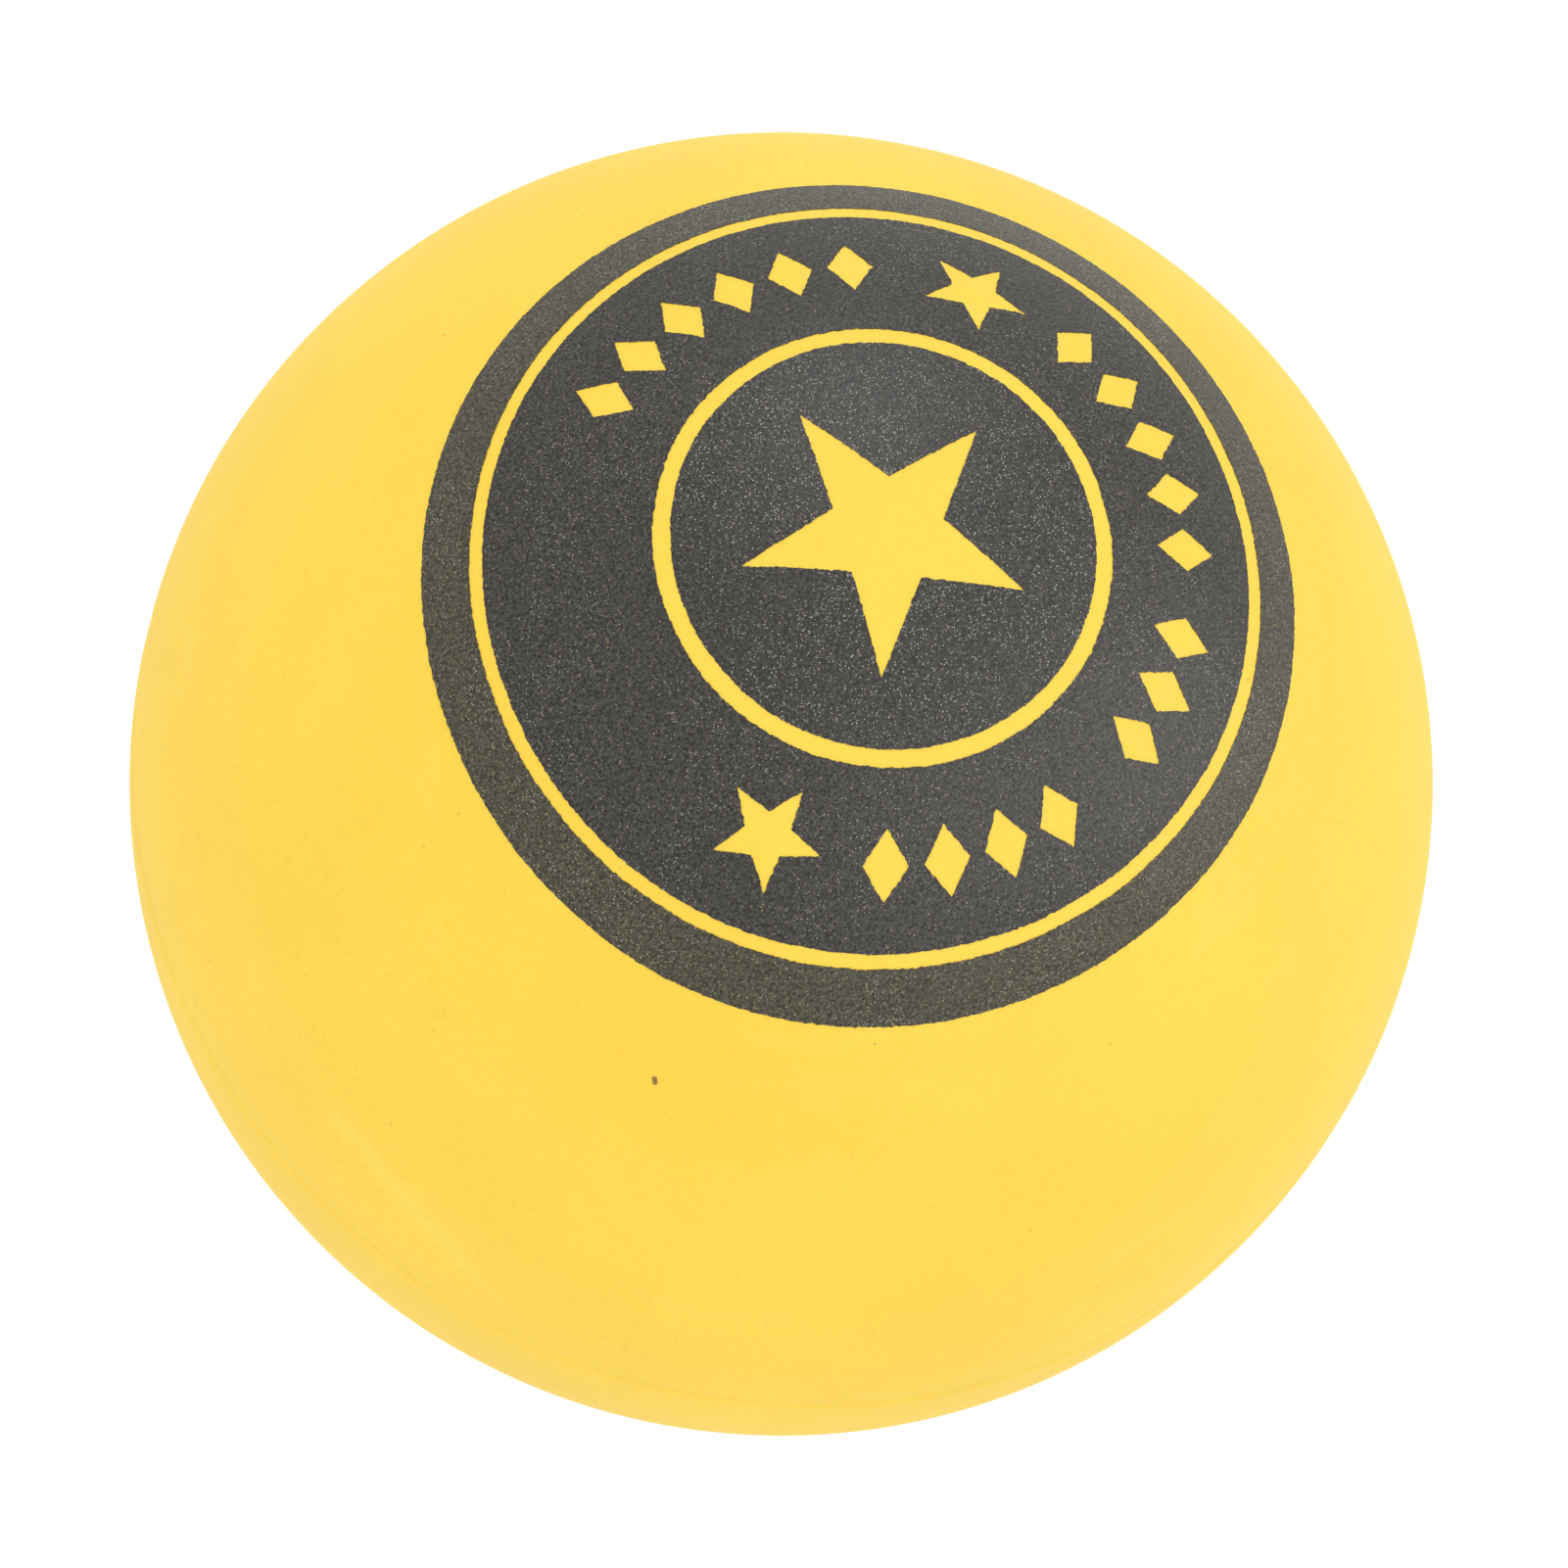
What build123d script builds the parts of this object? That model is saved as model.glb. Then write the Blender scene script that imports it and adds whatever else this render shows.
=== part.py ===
"""Small hollow rubber playground ball with a round print on one half.

Two moulded rubber half shells are buffed flat at their rims and cemented together, edge to edge.
The print is a flexible ink laid on in one stamping, centred on the moulding pole: a centre disc with a star
left open in it, a wide band with two small stars and rows of lozenges left open, and a border ring.
The ball shows through every opening.

Millimetres. The origin is the ball's centre. +Z is the moulding axis, through the middle of the print, so
the seam lies in the XY plane. One tip of the centre star points along +Y.
"""

from build123d import *
import math
import os

# The ball. The print is laid out in degrees of the ball's surface, so it grows with the diameter.
BALL_DIAMETER = 60.0
WALL = 4.0

# The seam. The cement fills a thin gap between the two buffed rims, and a bead of it squeezes out inside.
SEAM_GAP = 0.2
SEAM_BEAD_RADIUS = 0.6

# The print, from the pole outwards, in degrees. The two lines are where the ball shows between the inks.
INK_THICKNESS = 0.05
DISC_REACH = 18.4
INNER_LINE = 1.55
BAND_WIDTH = 15.1
OUTER_LINE = 1.4
BORDER_WIDTH = 4.65

# The centre star. The margin is the ink left between its tips and the edge of the disc, in degrees.
STAR_POINTS = 5
STAR_MARGIN = 5.65
STAR_NOTCH_SHARE = 0.39

# The row in the band, in degrees. Its stars sit a little inside the band's middle, its lozenges a little
# outside. Each margin is the ink between a tip or corner and the edge of the band, were the row central.
STAR_ROW_OFFSET = -0.25
LOZENGE_ROW_OFFSET = 0.3
SMALL_STAR_MARGIN = 2.95
SMALL_STAR_NOTCH_SHARE = 0.43
LOZENGE_MARGIN = 4.5
LOZENGE_WIDTH = 3.9
LOZENGE_GAP = 1.3

# Places around the pole, in degrees from +X towards +Y. Each run of lozenges is its middle and its count.
SMALL_STAR_PLACES = (37.0, 215.6)
LOZENGE_RUNS = ((88.0, 6), (354.0, 5), (303.0, 3), (254.0, 4))

BALL_RADIUS = BALL_DIAMETER / 2
CAVITY_RADIUS = BALL_RADIUS - WALL
BAND_START = DISC_REACH + INNER_LINE
BAND_END = BAND_START + BAND_WIDTH
BORDER_START = BAND_END + OUTER_LINE
BORDER_END = BORDER_START + BORDER_WIDTH
STAR_REACH = DISC_REACH - STAR_MARGIN
STAR_ROW_REACH = BAND_START + BAND_WIDTH / 2 + STAR_ROW_OFFSET
LOZENGE_ROW_REACH = BAND_START + BAND_WIDTH / 2 + LOZENGE_ROW_OFFSET
SMALL_STAR_REACH = BAND_WIDTH / 2 - SMALL_STAR_MARGIN
LOZENGE_HEIGHT = BAND_WIDTH - 2 * LOZENGE_MARGIN
LOZENGE_PITCH = (LOZENGE_WIDTH + LOZENGE_GAP) / math.sin(math.radians(LOZENGE_ROW_REACH))

# A cutter stands this far out of the ink on both sides.
CUTTER_REACH = BALL_RADIUS / 10


def surface_span(degrees):
    """Distance straight across from the middle of a mark to a point that many degrees away on the ball."""
    return BALL_RADIUS * math.sin(math.radians(degrees))


def plane_on_ball(from_pole, around):
    """Plane that touches the ball, with its normal pointing out and its X axis running around the pole."""
    tilt = math.radians(from_pole)
    turn = math.radians(around)
    outward = Vector(math.sin(tilt) * math.cos(turn), math.sin(tilt) * math.sin(turn), math.cos(tilt))
    along = Vector(-math.sin(turn), math.cos(turn), 0)
    return Plane(origin=outward * BALL_RADIUS, x_dir=along, z_dir=outward)


def half_shell():
    """Upper half of the hollow ball, with its rim buffed flat just above the seam."""
    ball = Sphere(BALL_RADIUS) - Sphere(CAVITY_RADIUS)
    room = Box(
        2 * BALL_DIAMETER, 2 * BALL_DIAMETER, BALL_DIAMETER, align=(Align.CENTER, Align.CENTER, Align.MIN)
    )
    return ball & Pos(0, 0, SEAM_GAP / 2) * room


def seam_cement():
    """Thin ring of cement between the rims, with the round bead that squeezed out into the cavity."""
    film = Rectangle(BALL_RADIUS, SEAM_GAP, align=(Align.MIN, Align.CENTER))
    film = (film & Circle(BALL_RADIUS)) - Circle(CAVITY_RADIUS)
    bead = (Pos(CAVITY_RADIUS, 0) * Circle(SEAM_BEAD_RADIUS)) & Circle(CAVITY_RADIUS)
    return revolve(Plane.XZ * (film + bead), Axis.Z)


def ink_film(start, end):
    """Ink on the ball's surface between two angles from the pole."""
    under = CenterArc((0, 0), BALL_RADIUS, 90 - end, end - start)
    top = CenterArc((0, 0), BALL_RADIUS + INK_THICKNESS, 90 - end, end - start)
    ends = [Line(under @ 0, top @ 0), Line(under @ 1, top @ 1)]
    section = make_face([under, top] + ends)
    return revolve(Plane.XZ * section, Axis.Z)


def star_outline(reach, notch_share):
    """Star with its first tip on +X of the sketch."""
    tip = surface_span(reach)
    corners = []
    for corner in range(2 * STAR_POINTS):
        radius = tip if corner % 2 == 0 else tip * notch_share
        angle = math.radians(180 * corner / STAR_POINTS)
        corners.append((radius * math.cos(angle), radius * math.sin(angle)))
    return Polygon(*corners, align=None)


def lozenge_outline():
    """Upright lozenge, its long way pointing at the pole."""
    half_width = surface_span(LOZENGE_WIDTH / 2)
    half_height = surface_span(LOZENGE_HEIGHT / 2)
    return Polygon((half_width, 0), (0, half_height), (-half_width, 0), (0, -half_height), align=None)


def cutter(plane, outline):
    """The outline as a short bar that passes through the ink."""
    return extrude(plane * outline, amount=CUTTER_REACH, both=True)


def centre_disc():
    """Round patch of ink at the pole with the large star left open."""
    star = Rot(0, 0, 90) * star_outline(STAR_REACH, STAR_NOTCH_SHARE)
    return ink_film(0, DISC_REACH) - cutter(Plane(origin=(0, 0, BALL_RADIUS)), star)


def middle_band():
    """Wide band of ink with the small stars and the runs of lozenges left open."""
    band = ink_film(BAND_START, BAND_END)
    for place in SMALL_STAR_PLACES:
        # All the stars point the same way across the print, so each one is turned back by its own place.
        star = Rot(0, 0, -place) * star_outline(SMALL_STAR_REACH, SMALL_STAR_NOTCH_SHARE)
        band -= cutter(plane_on_ball(STAR_ROW_REACH, place), star)
    for middle, count in LOZENGE_RUNS:
        for step in range(count):
            place = middle + LOZENGE_PITCH * (step - (count - 1) / 2)
            band -= cutter(plane_on_ball(LOZENGE_ROW_REACH, place), lozenge_outline())
    return band


pieces = {
    "printed_half_shell": half_shell(),
    "plain_half_shell": Rot(180, 0, 0) * half_shell(),
    "seam_cement": seam_cement(),
    "ink_centre_disc": centre_disc(),
    "ink_middle_band": middle_band(),
    "ink_border_ring": ink_film(BORDER_START, BORDER_END),
}

os.makedirs("parts", exist_ok=True)
for name, piece in pieces.items():
    export_step(piece, f"parts/{name}.step")
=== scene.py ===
"""Small hollow rubber playground ball: two cemented yellow half shells with a dark print on one of them.

Metres, in the CAD frame: the ball's centre is the origin and the print's middle is on +Z.
"""

import math

import bpy
import numpy as np
from mathutils import Matrix, Quaternion, Vector, noise
from mathutils.geometry import delaunay_2d_cdt


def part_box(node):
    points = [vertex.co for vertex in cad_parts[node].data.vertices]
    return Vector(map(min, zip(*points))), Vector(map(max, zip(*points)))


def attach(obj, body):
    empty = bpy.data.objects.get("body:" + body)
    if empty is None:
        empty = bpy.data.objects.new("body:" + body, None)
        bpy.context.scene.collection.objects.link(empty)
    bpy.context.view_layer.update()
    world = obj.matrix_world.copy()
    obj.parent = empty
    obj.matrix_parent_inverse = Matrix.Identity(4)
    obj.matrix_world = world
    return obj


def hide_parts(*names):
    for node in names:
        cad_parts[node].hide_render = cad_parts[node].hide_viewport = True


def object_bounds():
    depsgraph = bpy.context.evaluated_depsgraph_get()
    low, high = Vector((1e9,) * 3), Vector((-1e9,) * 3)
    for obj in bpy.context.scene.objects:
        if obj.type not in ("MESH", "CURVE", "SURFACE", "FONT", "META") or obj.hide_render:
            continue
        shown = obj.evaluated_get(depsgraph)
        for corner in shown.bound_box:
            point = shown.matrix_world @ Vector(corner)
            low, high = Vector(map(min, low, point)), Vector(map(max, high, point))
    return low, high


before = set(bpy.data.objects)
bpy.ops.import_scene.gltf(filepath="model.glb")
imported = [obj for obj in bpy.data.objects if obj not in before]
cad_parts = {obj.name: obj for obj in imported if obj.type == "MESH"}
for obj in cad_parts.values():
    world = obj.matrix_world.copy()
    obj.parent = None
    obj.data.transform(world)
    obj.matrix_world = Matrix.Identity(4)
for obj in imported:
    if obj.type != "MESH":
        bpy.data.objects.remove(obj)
cad_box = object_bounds()

MM = 0.001

# ---------------------------------------------------------------------------------------------------
# Half shells. The ball is two bowls of natural rubber, pressed and cured in polished moulds, so each
# is smooth but not perfectly round. Their rims are buffed after gluing, which leaves a dull, barely
# sunken band along the joint. Handling has left flecks, one nick and one rubbed mark on the skin.
# ---------------------------------------------------------------------------------------------------

BALL_RADIUS = (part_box("seam_cement")[1].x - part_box("seam_cement")[0].x) / 2
CEMENT_THICKNESS = 2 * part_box("printed_half_shell")[0].z
WALL = 4.0 * MM
RIM_EDGE = 0.02 * MM
BUFFED_DIP = 0.065 * MM
BUFFED_HALF_WIDTH = 0.9 * MM
UNEVEN = 0.035 * MM
TURNED_STEPS = 288
DOME_ROWS = 110
BUFFED_ROWS = 14
RIM_ROWS = 7
CAVITY_ROWS = 40
RUBBER_DEEP = (0.790, 0.529, 0.038)
RUBBER_BRIGHT = (0.830, 0.562, 0.050)
RUBBER_CLOUDS_PER_METRE = 70.0
SMEAR_COLOUR = (0.84, 0.62, 0.16)
SMEAR_SHOWS = 0.16
SMEARS_PER_METRE = 90.0
MOTTLE_COLOUR = (0.58, 0.38, 0.02)
MOTTLE_SHOWS = 0.20
MOTTLES_PER_METRE = 3400.0
DUST_COLOUR = (0.36, 0.21, 0.04)
DUST_SHOWS = 0.42
DUST_SIZE = 0.070
DUST_PER_METRE = 1500.0
FLECK_COLOUR = (0.24, 0.13, 0.04)
FLECK_SHOWS = 0.42
FLECK_SIZE = 0.058
FLECKS_PER_METRE = 430.0
FLECK_STRETCH = (1.0, 1.9, 1.4)
GRAIN_DEPTH = 0.02 * MM
GRAINS_PER_METRE = 3200.0
SCRATCH_STRETCH = (1.0, 1.0, 14.0)
SCRATCHES_PER_METRE = 900.0


def on_ball(from_pole, around):
    """Unit direction at that many degrees from the pole and around it."""
    tilt, turn = math.radians(from_pole), math.radians(around)
    return Vector((math.sin(tilt) * math.cos(turn), math.sin(tilt) * math.sin(turn), math.cos(tilt)))


NICK_ENDS = (on_ball(51.0, 214.2) * BALL_RADIUS, on_ball(51.3, 214.4) * BALL_RADIUS)
NICK_RADIUS = 0.085 * MM
NICK_COLOUR = (0.16, 0.07, 0.02)
NICK_SHOWS = 0.85
SMUDGE = on_ball(57.6, 191.5) * BALL_RADIUS
SMUDGE_RADIUS = 0.25 * MM
SMUDGE_COLOUR = (0.42, 0.20, 0.02)
SMUDGE_SHOWS = 0.07
SCRAPE_MIDDLE = on_ball(78.4, 198.5) * BALL_RADIUS
SCRAPE_ACROSS = (-0.897, -0.070, -0.437)
SCRAPE_OFFSET = SCRAPE_MIDDLE.dot(Vector(SCRAPE_ACROSS))
SCRAPE_WIDTH = 1.3 * MM
SCRAPE_LENGTH = 15.0 * MM
SCRAPE_COLOUR = (0.86, 0.68, 0.14)
SCRAPE_SHOWS = 0.22


def skin_radius(direction):
    """Distance from the ball's centre to its skin, which swells and dips very slightly."""
    slow = noise.noise(direction * 1.7 + Vector((3.1, 7.7, 1.3)))
    quick = noise.noise(direction * 6.0 + Vector((9.2, 0.4, 5.5)))
    from_joint = min(1.0, abs(direction.z) * BALL_RADIUS / BUFFED_HALF_WIDTH)
    dip = BUFFED_DIP * (1 + math.cos(math.pi * from_joint)) / 2
    return BALL_RADIUS - UNEVEN + UNEVEN * (0.8 * slow + 0.2 * quick) - dip


def half_shell_outline():
    """(radius, height, is it the outer skin) around a cut through one bowl, from pole to rim and back."""
    rim = CEMENT_THICKNESS / 2
    outer_end = math.acos((rim + RIM_EDGE) / BALL_RADIUS)
    near_rim = outer_end - 1.2 * BUFFED_HALF_WIDTH / BALL_RADIUS
    angles = list(np.linspace(0, near_rim, DOME_ROWS))
    angles += list(np.linspace(near_rim, outer_end, BUFFED_ROWS))[1:]
    points = [(math.sin(a) * BALL_RADIUS, math.cos(a) * BALL_RADIUS, True) for a in angles]
    for a in np.linspace(0, math.pi / 2, RIM_ROWS)[1:]:
        radius = BALL_RADIUS - RIM_EDGE * (1 - math.cos(a))
        points.append((radius, rim + RIM_EDGE * (1 - math.sin(a)), True))
    cavity = BALL_RADIUS - WALL
    for a in np.linspace(math.acos(rim / cavity), 0, CAVITY_ROWS):
        points.append((math.sin(a) * cavity, math.cos(a) * cavity, False))
    return points


def turned_shell(name, side):
    """One bowl as a closed mesh, opening down for side 1 and up for side -1."""
    outline = half_shell_outline()
    verts, faces, rows = [], [], []
    for radius, height, outer in outline:
        steps = 1 if radius < 1e-9 else TURNED_STEPS
        rows.append(list(range(len(verts), len(verts) + steps)))
        for step in range(steps):
            turn = 2 * math.pi * step / TURNED_STEPS
            point = Vector((radius * math.cos(turn), radius * math.sin(turn), side * height))
            if outer:
                point *= skin_radius(point.normalized()) / BALL_RADIUS
            verts.append(point)
    for upper, lower in zip(rows, rows[1:]):
        for step in range(TURNED_STEPS):
            after = (step + 1) % TURNED_STEPS
            corners = [upper[step % len(upper)], lower[step % len(lower)]]
            corners += [lower[after % len(lower)], upper[after % len(upper)]]
            corners = list(dict.fromkeys(corners))
            faces.append(corners if side > 0 else corners[::-1])
    mesh = bpy.data.meshes.new(name)
    mesh.from_pydata(verts, [], faces)
    mesh.shade_smooth()
    mesh.set_sharp_from_angle(angle=math.radians(50))
    piece = bpy.data.objects.new(name, mesh)
    bpy.context.scene.collection.objects.link(piece)
    return piece


def node(tree, kind, inputs=None, **settings):
    """A shader node with its settings, its constant inputs and its links."""
    made = tree.nodes.new(kind)
    for key, value in settings.items():
        setattr(made, key, value)
    for key, value in (inputs or {}).items():
        if isinstance(value, bpy.types.NodeSocket):
            tree.links.new(value, made.inputs[key])
        else:
            made.inputs[key].default_value = value
    return made


def new_material(name):
    """An empty node material: its tree, its principled shader and the piece's own coordinates."""
    material = bpy.data.materials.new(name)
    material.use_nodes = True
    tree = material.node_tree
    shader = tree.nodes["Principled BSDF"]
    place = tree.nodes.new("ShaderNodeTexCoord").outputs["Object"]
    return material, tree, shader, place


def noise_at(tree, place, per_metre, detail, rough=0.5, distortion=0.0):
    """Cloudy noise between 0 and 1, as a node with the outputs Fac and Color."""
    made = node(tree, "ShaderNodeTexNoise", {"Vector": place, "Scale": per_metre, "Detail": detail})
    made.inputs["Roughness"].default_value = rough
    made.inputs["Distortion"].default_value = distortion
    return made


def stretched(tree, place, factors):
    """place, scaled by its own factor along each axis."""
    return node(tree, "ShaderNodeMapping", {"Vector": place, "Scale": factors}).outputs[0]


def ramp(tree, value, low, high, to_low=0.0, to_high=1.0):
    """value, eased from low..high to to_low..to_high and held there outside."""
    ends = {"Value": value, "From Min": low, "From Max": high, "To Min": to_low, "To Max": to_high}
    return node(tree, "ShaderNodeMapRange", ends, interpolation_type="SMOOTHSTEP").outputs["Result"]


def maths(tree, operation, a, b=0.0):
    """One sum on two numbers."""
    return node(tree, "ShaderNodeMath", {0: a, 1: b}, operation=operation).outputs["Value"]


def times(tree, a, b):
    """a multiplied by b."""
    return maths(tree, "MULTIPLY", a, b)


def bumped(tree, shader, height, strength, depth):
    """Relief on a shader's surface, from a height between 0 and 1."""
    bump = node(tree, "ShaderNodeBump", {"Height": height, "Strength": strength, "Distance": depth})
    tree.links.new(bump.outputs["Normal"], shader.inputs["Normal"])


def blend_colour(tree, share, start, end):
    """start where share is 0, end where it is 1."""
    made = node(tree, "ShaderNodeMix", {"Factor": share}, data_type="RGBA")
    for socket, value in ((made.inputs[6], start), (made.inputs[7], end)):
        if isinstance(value, bpy.types.NodeSocket):
            tree.links.new(value, socket)
        else:
            socket.default_value = (*value, 1.0)
    return made.outputs[2]


def wobbled(tree, place, per_metre, reach):
    """place, pushed about by up to reach, so that what is drawn there has an uneven outline."""
    push = noise_at(tree, place, per_metre, detail=1.0).outputs["Color"]
    centred = node(tree, "ShaderNodeVectorMath", {0: push, 1: (0.5,) * 3}, operation="SUBTRACT").outputs[0]
    moved = {0: centred, 1: (2 * reach,) * 3, 2: place}
    return node(tree, "ShaderNodeVectorMath", moved, operation="MULTIPLY_ADD").outputs[0]


def specks(tree, place, per_metre, size, share, seed, stretch=(1.0, 1.0, 1.0)):
    """Specks, each with its own strength up to 1.

    size is a speck's radius as a share of its cell, share is how many of the cells hold a speck.
    """
    shifted = {"Vector": place, "Location": (seed, seed * 0.7, 0.0), "Scale": stretch}
    moved = node(tree, "ShaderNodeMapping", shifted)
    cells = node(tree, "ShaderNodeTexVoronoi", {"Vector": moved.outputs[0], "Scale": per_metre})
    inside = ramp(tree, cells.outputs["Distance"], size, size * 0.6)
    pick = node(tree, "ShaderNodeSeparateColor", {"Color": cells.outputs["Color"]})
    chosen = maths(tree, "LESS_THAN", pick.outputs["Red"], share)
    strength = ramp(tree, pick.outputs["Green"], 0.0, 1.0, 0.25, 1.0)
    return times(tree, times(tree, inside, chosen), strength)


def spot(tree, place, centre, radius):
    """1 within radius of a point, easing to 0 at twice that."""
    away = node(tree, "ShaderNodeVectorMath", {0: place, 1: centre}, operation="DISTANCE")
    return ramp(tree, away.outputs["Value"], radius * 2, radius)


def rub_mark(tree, place):
    """1 along one curved scrape beside the joint, easing to 0 at its sides and ends."""
    loose = wobbled(tree, place, 180.0, 0.9 * MM)
    across = node(tree, "ShaderNodeVectorMath", {0: loose, 1: SCRAPE_ACROSS}, operation="DOT_PRODUCT")
    off_line = maths(tree, "ABSOLUTE", maths(tree, "SUBTRACT", across.outputs["Value"], SCRAPE_OFFSET))
    along = spot(tree, place, SCRAPE_MIDDLE, SCRAPE_LENGTH / 4)
    return times(tree, ramp(tree, off_line, SCRAPE_WIDTH / 2, 0.0), along)


def marked(tree, colour, mark, strength, mark_colour):
    """colour, with a mark laid over it."""
    return blend_colour(tree, times(tree, mark, strength), colour, mark_colour)


def rubber_material():
    """Warm yellow moulded rubber: faintly cloudy, smeared and grainy, with the marks that play left."""
    material, tree, shader, place = new_material("yellow_shell_rubber")
    cloud = noise_at(tree, place, RUBBER_CLOUDS_PER_METRE, detail=4.0, rough=0.6).outputs["Fac"]
    colour = blend_colour(tree, ramp(tree, cloud, 0.3, 0.7), RUBBER_DEEP, RUBBER_BRIGHT)
    drawn_out = stretched(tree, place, (1.0, 1.0, 5.0))
    smear = noise_at(tree, drawn_out, SMEARS_PER_METRE, detail=5.0, rough=0.6, distortion=0.4).outputs["Fac"]
    colour = blend_colour(tree, ramp(tree, smear, 0.58, 0.78, 0.0, SMEAR_SHOWS), colour, SMEAR_COLOUR)
    colour = marked(tree, colour, rub_mark(tree, place), SCRAPE_SHOWS, SCRAPE_COLOUR)
    uneven_place = wobbled(tree, place, 7000.0, 0.05 * MM)
    smudge = spot(tree, uneven_place, SMUDGE, SMUDGE_RADIUS)
    colour = marked(tree, colour, smudge, SMUDGE_SHOWS, SMUDGE_COLOUR)
    mottle = noise_at(tree, place, MOTTLES_PER_METRE, detail=2.0, rough=0.7).outputs["Fac"]
    colour = blend_colour(tree, ramp(tree, mottle, 0.40, 0.80, 0.0, MOTTLE_SHOWS), colour, MOTTLE_COLOUR)
    dust = specks(tree, uneven_place, DUST_PER_METRE, DUST_SIZE, share=0.9, seed=2.0)
    colour = marked(tree, colour, dust, DUST_SHOWS, DUST_COLOUR)
    flecks = specks(tree, uneven_place, FLECKS_PER_METRE, FLECK_SIZE, 0.80, seed=5.0, stretch=FLECK_STRETCH)
    colour = marked(tree, colour, flecks, FLECK_SHOWS, FLECK_COLOUR)
    for end in NICK_ENDS:
        nick = spot(tree, uneven_place, end, NICK_RADIUS)
        colour = marked(tree, colour, nick, NICK_SHOWS, NICK_COLOUR)
    tree.links.new(colour, shader.inputs["Base Color"])

    grain = noise_at(tree, place, GRAINS_PER_METRE, detail=3.0, rough=0.55).outputs["Fac"]
    height = node(tree, "ShaderNodeSeparateXYZ", {"Vector": place})
    from_seam = maths(tree, "ABSOLUTE", height.outputs["Z"])
    buffed = ramp(tree, from_seam, 1.2 * BUFFED_HALF_WIDTH, 0.7 * BUFFED_HALF_WIDTH)
    along_seam = stretched(tree, place, SCRATCH_STRETCH)
    scratches = noise_at(tree, along_seam, SCRATCHES_PER_METRE, detail=4.0).outputs["Fac"]
    relief = maths(tree, "ADD", times(tree, scratches, times(tree, buffed, 0.5)), grain)
    bumped(tree, shader, relief, 0.25, GRAIN_DEPTH)
    dull = ramp(tree, cloud, 0.3, 0.7, 0.60, 0.66)
    tree.links.new(maths(tree, "ADD", times(tree, buffed, 0.04), dull), shader.inputs["Roughness"])
    shader.inputs["Subsurface Weight"].default_value = 0.12
    shader.inputs["Subsurface Radius"].default_value = (1.0, 0.45, 0.12)
    shader.inputs["Subsurface Scale"].default_value = 1.2 * MM
    shader.inputs["IOR"].default_value = 1.46
    return material


yellow_rubber = rubber_material()
for shell_name, side in (("printed_half_shell", 1), ("plain_half_shell", -1)):
    shell = turned_shell(shell_name + "_skin", side)
    shell.data.materials.append(yellow_rubber)
    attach(shell, "root")
    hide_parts(shell_name)

# ---------------------------------------------------------------------------------------------------
# Seam cement. A film of rubber cement, brushed on both rims, glues the bowls edge to edge. Outside it
# is buffed almost flush and hardly shows. Inside it swells into a small bead.
# ---------------------------------------------------------------------------------------------------

CEMENT_RECESS = 0.004 * MM
BEAD_RADIUS = 0.6 * MM
BEAD_CORNERS = 13
BEAD_OPENS = 80
CEMENT_DEEP = (0.786, 0.524, 0.038)
CEMENT_BRIGHT = (0.824, 0.556, 0.047)
CEMENT_CLOUDS_PER_METRE = 400.0


def cement_ring():
    """The film with its inner bead, turned about the moulding axis."""
    half = CEMENT_THICKNESS / 2
    cavity = BALL_RADIUS - WALL
    outer = BALL_RADIUS - CEMENT_RECESS
    section = [(cavity, half), (outer - RIM_EDGE / 3, half), (outer, half * 0.7), (outer, -half * 0.7)]
    section += [(outer - RIM_EDGE / 3, -half), (cavity, -half)]
    for a in np.linspace(-math.radians(BEAD_OPENS), -math.radians(360 - BEAD_OPENS), BEAD_CORNERS):
        section.append((cavity + BEAD_RADIUS * math.cos(a), BEAD_RADIUS * math.sin(a)))
    verts, faces = [], []
    for step in range(TURNED_STEPS):
        turn = 2 * math.pi * step / TURNED_STEPS
        direction = Vector((math.cos(turn), math.sin(turn), 0))
        swell = skin_radius(direction) / BALL_RADIUS
        for radius, height in section:
            verts.append((radius * swell * direction.x, radius * swell * direction.y, height))
    count = len(section)
    for step in range(TURNED_STEPS):
        after = (step + 1) % TURNED_STEPS
        for corner in range(count):
            beside = (corner + 1) % count
            here, there = step * count, after * count
            faces.append((here + corner, here + beside, there + beside, there + corner))
    mesh = bpy.data.meshes.new("seam_cement_film")
    mesh.from_pydata(verts, [], faces)
    mesh.shade_smooth()
    piece = bpy.data.objects.new("seam_cement_film", mesh)
    bpy.context.scene.collection.objects.link(piece)
    return piece


def cement_material():
    """Cured cement: very nearly the yellow of the shells, thicker in some places than others."""
    material, tree, shader, place = new_material("cured_rubber_cement")
    uneven = noise_at(tree, place, CEMENT_CLOUDS_PER_METRE, detail=3.0).outputs["Fac"]
    colour = blend_colour(tree, ramp(tree, uneven, 0.35, 0.65), CEMENT_DEEP, CEMENT_BRIGHT)
    tree.links.new(colour, shader.inputs["Base Color"])
    bumped(tree, shader, uneven, 0.4, 0.03 * MM)
    shader.inputs["Roughness"].default_value = 0.6
    return material


cement = cement_ring()
cement.data.materials.append(cement_material())
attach(cement, "root")
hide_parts("seam_cement")

# ---------------------------------------------------------------------------------------------------
# Print. One stamping with a soft pad lays a thin flexible ink on the first bowl: a centre disc, a wide
# band and a border ring, with a star, two small stars and rows of lozenges left open. The pad squashes
# the rings slightly to one side, and the ink's edges are a little ragged.
# ---------------------------------------------------------------------------------------------------

INK_THICKNESS = 0.03 * MM
INK_ROOT = 0.02 * MM
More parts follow.
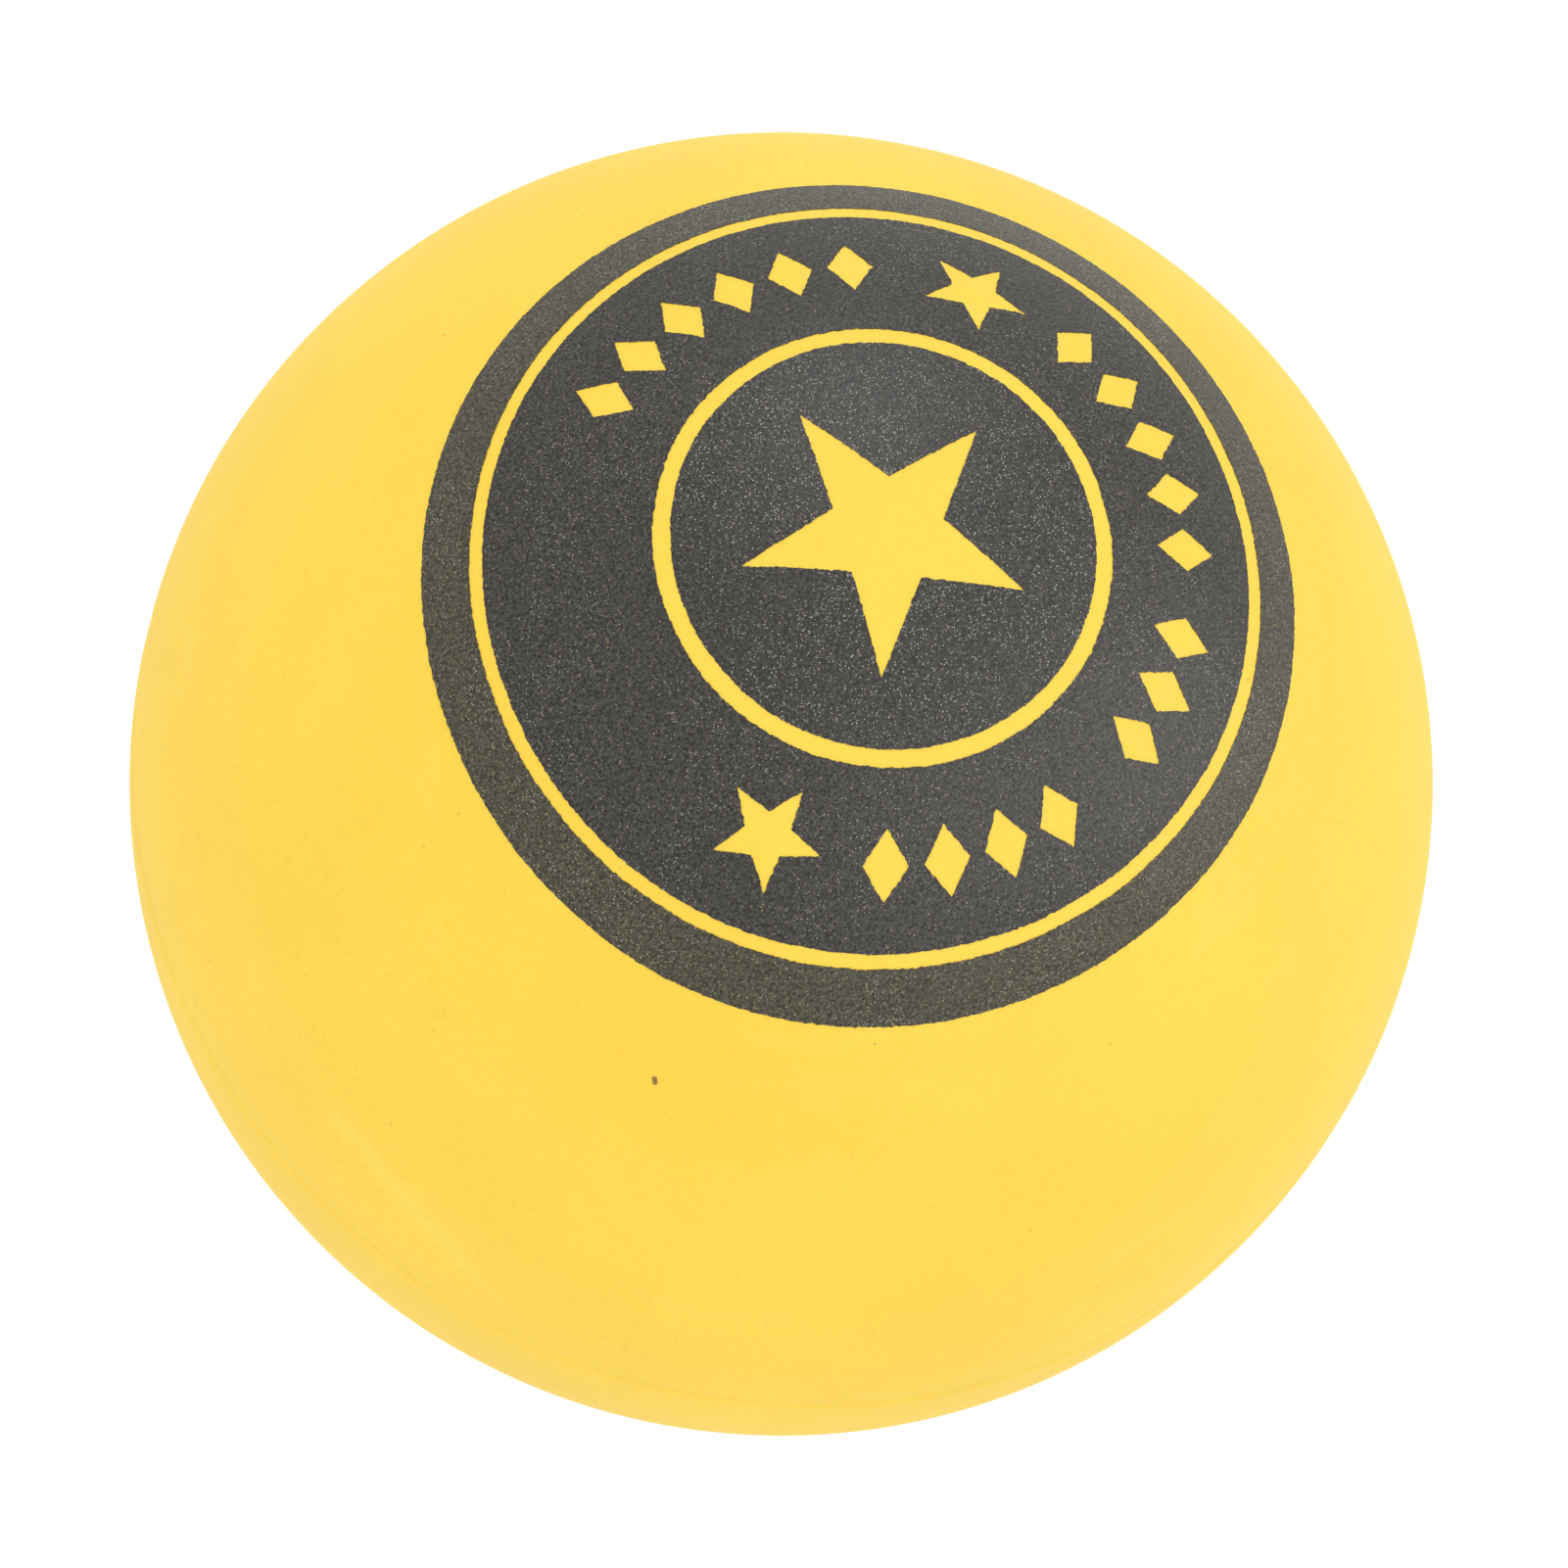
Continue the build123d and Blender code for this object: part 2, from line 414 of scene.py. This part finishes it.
# In degrees at the ball's centre. A ring is its reach from the pole, how far off centre, and which way.
DISC_RING = (18.44, 0.11, 19.0)
BAND_INNER_RING = (19.99, 0.15, 26.0)
BAND_OUTER_RING = (35.08, 0.16, 113.0)
BORDER_INNER_RING = (36.47, 0.20, 67.0)
BORDER_OUTER_RING = (41.13, 0.16, 159.0)
STAR_REACH = 12.76
STAR_NOTCH_SHARE = 0.39
STAR_OFFSET = (0.2, 76.0)
STAR_ROW_REACH = 27.25
LOZENGE_ROW_REACH = 27.8
SMALL_STAR_REACH = 4.6
SMALL_STAR_NOTCH_SHARE = 0.43
SMALL_STAR_PLACES = (37.0, 215.6)
LOZENGE_WIDTH = 3.9
LOZENGE_HEIGHT = 6.1
LOZENGE_PITCH = 11.15
# A run of lozenges is the turn of its middle and how many there are.
LOZENGE_RUNS = ((88.0, 6), (354.0, 5), (303.0, 3), (254.0, 4))
PAD_SQUASH = 0.9
PAD_SQUASH_TOWARDS = 41.0
PAD_CORNER = 0.137
PAD_CORNER_TOWARDS = 37.0
OUTLINE_STEP = 0.06 * MM
FILL_STEP = 1.1
RAGGED = 0.058 * MM
INK_DARK = Vector((0.007, 0.006, 0.004))
INK_PALE = Vector((0.056, 0.051, 0.043))
THIN_INK_DARK_GAIN = Vector((0.010, 0.009, 0.001))
THIN_INK_PALE_GAIN = Vector((0.026, 0.020, 0.004))
LIVELY_INK_LOSS = Vector((0.014, 0.012, 0.010))
INK_CLOUDS_PER_METRE = 190.0
INK_GRAINS_PER_METRE = 7500.0
# Painted highlights: the glints are bright specks painted into the ink's colour, standing in for light
# caught on its grain.
PAINTED_GLINT_COLOUR = (0.66, 0.64, 0.58)
PAINTED_GLINTS_PER_METRE = 11500.0
PINHOLE_COLOUR = (0.34, 0.28, 0.13)
PINHOLE_SHOWS = 0.6
PINHOLES_PER_METRE = 6500.0
PEBBLES_PER_METRE = 7000.0


def pad_squashed(direction):
    """Where the soft pad really lays a point of the artwork."""
    from_pole = math.degrees(math.acos(max(-1.0, min(1.0, direction.z))))
    around = math.degrees(math.atan2(direction.y, direction.x))
    out = from_pole / BORDER_OUTER_RING[0]
    shift = PAD_SQUASH * out**1.75 * math.cos(math.radians(2 * (around - PAD_SQUASH_TOWARDS)))
    shift += PAD_CORNER * out**2.6 * math.cos(math.radians(4 * (around - PAD_CORNER_TOWARDS)))
    return on_ball(from_pole + shift, around)


def ring_line(from_pole, off_centre, towards):
    """Closed line around the pole, printed a little off centre towards one side."""
    steps = int(2 * math.pi * BALL_RADIUS * math.sin(math.radians(from_pole)) / OUTLINE_STEP)
    turns = [360 * step / steps for step in range(steps)]
    shifts = [off_centre * math.cos(math.radians(turn - towards)) for turn in turns]
    return [on_ball(from_pole + shift, turn) for shift, turn in zip(shifts, turns)]


def shape_line(corners, from_pole, around, turned):
    """Closed line of a flat shape pressed on the ball. Its corners are in metres, then it is turned."""
    outward = on_ball(from_pole, around)
    along = Vector((-math.sin(math.radians(around)), math.cos(math.radians(around)), 0))
    towards_pole = outward.cross(along)
    spin = Matrix.Rotation(math.radians(turned), 2)
    line = []
    for start, end in zip(corners, corners[1:] + corners[:1]):
        start, end = spin @ Vector(start), spin @ Vector(end)
        steps = max(2, int((end - start).length / OUTLINE_STEP))
        for step in range(steps):
            flat = start.lerp(end, step / steps)
            rise = math.sqrt(BALL_RADIUS**2 - flat.length_squared)
            line.append((flat.x * along + flat.y * towards_pole + rise * outward).normalized())
    return line


def star_corners(reach, notch_share):
    """Corners of a five-pointed star whose first tip is on its own +X."""
    tip = BALL_RADIUS * math.sin(math.radians(reach))
    corners = []
    for corner in range(10):
        radius = tip if corner % 2 == 0 else tip * notch_share
        turn = math.radians(36 * corner)
        corners.append((radius * math.cos(turn), radius * math.sin(turn)))
    return corners


def lozenge_corners():
    """Corners of an upright lozenge."""
    half_width = BALL_RADIUS * math.sin(math.radians(LOZENGE_WIDTH / 2))
    half_height = BALL_RADIUS * math.sin(math.radians(LOZENGE_HEIGHT / 2))
    return [(half_width, 0), (0, half_height), (-half_width, 0), (0, -half_height)]


def ragged_line(line, seed):
    """The line as the ink leaves it: squashed by the pad, with an uneven edge."""
    pressed = [pad_squashed(p) for p in line]
    offset = Vector((seed * 3.7, seed * 1.9, seed * 5.3))
    count = len(pressed)
    rough = []
    for i, point in enumerate(pressed):
        ahead = pressed[(i + 3) % count] - pressed[i - 3]
        sideways = ahead.cross(point).normalized()
        at = point * (BALL_RADIUS / MM)
        wander = 0.5 * noise.noise(at * 0.4 + offset) + 0.3 * noise.noise(at * 1.7 + offset)
        fray = 0.6 * noise.noise(at * 3.6 + offset) + 0.8 * noise.noise(at * 7.5 + offset)
        rough.append((point + sideways * (RAGGED / BALL_RADIUS) * (wander + fray)).normalized())
    return rough


def flat_map(direction):
    """The direction on a flat map around the pole, in degrees."""
    from_pole = math.degrees(math.acos(max(-1.0, min(1.0, direction.z))))
    around = math.atan2(direction.y, direction.x)
    return from_pole * math.cos(around), from_pole * math.sin(around)


def inside(points, loops):
    """For each point of the map, whether it lies inside an odd number of loops."""
    odd = np.zeros(len(points), bool)
    for loop in loops:
        a, b = loop, np.roll(loop, -1, axis=0)
        low, high = loop.min(0), loop.max(0)
        near = np.where(((points >= low) & (points <= high)).all(1))[0]
        for start in range(0, len(near), 2000):
            part = near[start : start + 2000]
            x, y = points[part, 0][:, None], points[part, 1][:, None]
            spans = (a[:, 1] > y) != (b[:, 1] > y)
            rise = np.where(b[:, 1] == a[:, 1], 1e-12, b[:, 1] - a[:, 1])
            crossing = a[:, 0] + (y - a[:, 1]) * (b[:, 0] - a[:, 0]) / rise
            odd[part] ^= (np.sum(spans & (x < crossing), axis=1) % 2).astype(bool)
    return odd


def ink_film(name, lines):
    """Thin closed film on the ball, filling what lies inside an odd number of the lines."""
    loops = [np.array([flat_map(p) for p in line]) for line in lines]
    low = np.min([loop.min(0) for loop in loops], axis=0)
    high = np.max([loop.max(0) for loop in loops], axis=0)
    across = np.arange(low[0], high[0], FILL_STEP)
    up = np.arange(low[1], high[1], FILL_STEP * 0.866)
    fill = np.array([(x + FILL_STEP / 2 * (row % 2), y) for row, y in enumerate(up) for x in across])
    fill = fill[inside(fill, loops)]
    points = [Vector(p) for loop in loops for p in loop]
    edges, start = [], 0
    for loop in loops:
        edges += [(start + i, start + (i + 1) % len(loop)) for i in range(len(loop))]
        start += len(loop)
    points += [Vector(p) for p in fill]
    flat, _, triangles, *_ = delaunay_2d_cdt(points, edges, [], 0, 1e-7)
    flat = np.array(flat)
    triangles = np.array(triangles)
    triangles = triangles[inside(flat[triangles].mean(1), loops)]
    used, triangles = np.unique(triangles, return_inverse=True)
    triangles = triangles.reshape(-1, 3)
    tops, roots = [], []
    for x, y in flat[used]:
        direction = on_ball(math.hypot(x, y), math.degrees(math.atan2(y, x)))
        skin = skin_radius(direction)
        tops.append(direction * (skin + INK_THICKNESS))
        roots.append(direction * (skin - INK_ROOT))
    count = len(tops)
    faces = [tuple(t) for t in triangles] + [tuple(t[::-1] + count) for t in triangles]
    seen = {}
    for a, b, c in triangles:
        for edge in ((a, b), (b, c), (c, a)):
            seen[edge] = True
    for a, b in seen:
        if (b, a) not in seen:
            faces.append((b, a, a + count, b + count))
    mesh = bpy.data.meshes.new(name)
    mesh.from_pydata(tops + roots, [], [tuple(int(i) for i in face) for face in faces])
    mesh.shade_smooth()
    mesh.set_sharp_from_angle(angle=math.radians(40))
    piece = bpy.data.objects.new(name, mesh)
    bpy.context.scene.collection.objects.link(piece)
    return piece


def ink_material(name, thin, lively):
    """Dark stamping ink: a fine pebbled film with glints painted into its colour as painted highlights, and
    pinholes where the yellow shows through.

    thin is 1 where the pad left less ink, lively is 1 where it left more grain and where more glints are
    painted as highlights.
    """
    material, tree, shader, place = new_material(name)
    cloud = noise_at(tree, place, INK_CLOUDS_PER_METRE, detail=3.0, rough=0.55).outputs["Fac"]
    fine = noise_at(tree, place, INK_GRAINS_PER_METRE, detail=2.0, rough=0.6).outputs["Fac"]
    dark = INK_DARK + THIN_INK_DARK_GAIN * thin
    pale = INK_PALE + THIN_INK_PALE_GAIN * thin - LIVELY_INK_LOSS * lively
    sharp = 0.05 * lively
    colour = blend_colour(tree, ramp(tree, fine, 0.30 + sharp, 0.70 - sharp), dark, pale)
    # Painted highlight glints, in patches, laid into the ink's colour.
    painted_glints = specks(tree, place, PAINTED_GLINTS_PER_METRE, size=0.36, share=0.24 + 0.08 * lively, seed=1.0)
    painted_glint_patches = ramp(tree, cloud, 0.36, 0.60)
    painted_glint_share = ramp(tree, painted_glint_patches, 0.0, 1.0, 0.22 + 0.23 * lively, 0.66 + 0.26 * lively)
    colour = marked(tree, colour, painted_glints, painted_glint_share, PAINTED_GLINT_COLOUR)
    pinholes = specks(tree, place, PINHOLES_PER_METRE, size=0.34, share=0.14 + 0.26 * thin, seed=4.0)
    colour = marked(tree, colour, pinholes, PINHOLE_SHOWS, PINHOLE_COLOUR)
    tree.links.new(colour, shader.inputs["Base Color"])

    pebbles = node(tree, "ShaderNodeTexVoronoi", {"Vector": place, "Scale": PEBBLES_PER_METRE})
    relief = maths(tree, "ADD", times(tree, pebbles.outputs["Distance"], 0.5), fine)
    bumped(tree, shader, relief, 0.8 + 0.2 * lively, (0.02 + 0.01 * lively) * MM)
    shader.inputs["Roughness"].default_value = 0.38
    shader.inputs["IOR"].default_value = 1.37 + 0.03 * lively
    return material


band_openings = []
for star_place in SMALL_STAR_PLACES:
    corners = star_corners(SMALL_STAR_REACH, SMALL_STAR_NOTCH_SHARE)
    band_openings.append(shape_line(corners, STAR_ROW_REACH, star_place, -star_place))
for middle, count in LOZENGE_RUNS:
    for step in range(count):
        around = middle + LOZENGE_PITCH * (step - (count - 1) / 2)
        band_openings.append(shape_line(lozenge_corners(), LOZENGE_ROW_REACH, around, 0))

star_line = shape_line(star_corners(STAR_REACH, STAR_NOTCH_SHARE), *STAR_OFFSET, -STAR_OFFSET[1])
print_lines = {
    "ink_centre_disc": [ring_line(*DISC_RING), star_line],
    "ink_middle_band": [ring_line(*BAND_INNER_RING), ring_line(*BAND_OUTER_RING)] + band_openings,
    "ink_border_ring": [ring_line(*BORDER_INNER_RING), ring_line(*BORDER_OUTER_RING)],
}

inks = {
    "ink_centre_disc": ink_material("thick_lively_stamping_ink", 0.0, 1.0),
    "ink_middle_band": ink_material("thick_stamping_ink", 0.0, 0.0),
    "ink_border_ring": ink_material("thin_stamping_ink", 1.0, 0.4),
}
line_seed = 0
for film_name, lines in print_lines.items():
    rough_lines = []
    for line in lines:
        line_seed += 1
        rough_lines.append(ragged_line(line, line_seed))
    film = ink_film(film_name + "_film", rough_lines)
    film.data.materials.append(inks[film_name])
    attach(film, "root")
    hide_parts(film_name)

# ---------------------------------------------------------------------------------------------------
# Camera. A long lens fifteen ball radii away, tilted off the print's middle and rolled, so that the
# joint of the two bowls just shows at one side.
# ---------------------------------------------------------------------------------------------------

CAMERA_DISTANCE = 15 * BALL_RADIUS
CAMERA_FROM_POLE = 23.35
CAMERA_AROUND = 214.3
CAMERA_ROLL = 23.1
BALL_SHARE_OF_FRAME = 0.8323
FRAME_SHIFT = 0.0018
SENSOR = 36.0

back = on_ball(CAMERA_FROM_POLE, CAMERA_AROUND)
towards_print = (Vector((0, 0, 1)) - back * back.z).normalized()
up = Quaternion(back, math.radians(CAMERA_ROLL)) @ towards_print
right = up.cross(back)
lens = bpy.data.cameras.new("camera")
lens.sensor_width = SENSOR
lens.lens = SENSOR * BALL_SHARE_OF_FRAME / 2 * math.sqrt((CAMERA_DISTANCE / BALL_RADIUS) ** 2 - 1)
lens.shift_x = FRAME_SHIFT
lens.clip_start = 0.01
lens.clip_end = 50.0
camera = bpy.data.objects.new("camera", lens)
turned = Matrix((right, up, back)).transposed().to_4x4()
camera.matrix_world = Matrix.Translation(back * CAMERA_DISTANCE) @ turned
bpy.context.scene.collection.objects.link(camera)
bpy.context.scene.camera = camera
bpy.context.scene.view_settings.view_transform = "Standard"

# ---------------------------------------------------------------------------------------------------
# Stand and light. The ball rests on a plain white table in a white studio. The room lights it evenly,
# brightest from overhead, and three large soft lamps around the camera give the sheen on the ink.
# ---------------------------------------------------------------------------------------------------

FLOOR_HALF = 6.0
FLOOR_GREY = 0.20
FLOOR_GLOW = 0.85
ROOM_DIMMEST = 0.96
ROOM_BRIGHTEST = 1.41
ROOM_LEAN = 0.25
LAMP_DISTANCE = 0.6
# A lamp is its name, its share of right, up and towards the camera, its width in metres and its watts.
SOFT_LAMPS = (
    ("main_soft_lamp", (0.18, 0.89, 0.41), 0.24, 0.70),
    ("side_soft_lamp", (0.92, 0.12, 0.36), 0.42, 0.95),
    ("low_soft_lamp", (0.55, -0.12, 0.83), 0.42, 0.66),
)
WHITE = (1.0, 1.0, 1.0, 1.0)

floor_mesh = bpy.data.meshes.new("white_table")
corner_signs = ((-1, -1), (1, -1), (1, 1), (-1, 1))
floor_corners = [(FLOOR_HALF * x, FLOOR_HALF * y, cad_box[0].z) for x, y in corner_signs]
floor_mesh.from_pydata(floor_corners, [], [(0, 1, 2, 3)])
floor = bpy.data.objects.new("white_table", floor_mesh)
bpy.context.scene.collection.objects.link(floor)
floor_material, _, floor_shader, _ = new_material("white_laminate")
floor_shader.inputs["Base Color"].default_value = (FLOOR_GREY, FLOOR_GREY, FLOOR_GREY, 1.0)
floor_shader.inputs["Roughness"].default_value = 0.7
floor_shader.inputs["Emission Color"].default_value = WHITE
floor_shader.inputs["Emission Strength"].default_value = FLOOR_GLOW
floor_mesh.materials.append(floor_material)

world = bpy.data.worlds.new("white_room")
world.use_nodes = True
sky = world.node_tree
towards = sky.nodes.new("ShaderNodeTexCoord").outputs["Generated"]
sideways = Vector((right.x, right.y, 0)).normalized()
bright_side = (Vector((0, 0, 1)) + ROOM_LEAN * sideways).normalized()
facing = node(sky, "ShaderNodeVectorMath", {0: towards, 1: bright_side}, operation="DOT_PRODUCT")
brightness = ramp(sky, facing.outputs["Value"], -0.6, 1.0, ROOM_DIMMEST, ROOM_BRIGHTEST)
sky.nodes["Background"].inputs["Color"].default_value = WHITE
sky.links.new(brightness, sky.nodes["Background"].inputs["Strength"])
bpy.context.scene.world = world

for lamp_name, aim, size, watts in SOFT_LAMPS:
    lamp_direction = (aim[0] * right + aim[1] * up + aim[2] * back).normalized()
    lamp_light = bpy.data.lights.new(lamp_name, "AREA")
    lamp_light.shape = "DISK"
    lamp_light.size = size
    lamp_light.energy = watts
    lamp = bpy.data.objects.new(lamp_name, lamp_light)
    lamp.location = lamp_direction * LAMP_DISTANCE
    lamp.rotation_mode = "QUATERNION"
    lamp.rotation_quaternion = lamp_direction.to_track_quat("Z", "Y")
    lamp.visible_camera = False
    lamp.visible_diffuse = False
    bpy.context.scene.collection.objects.link(lamp)
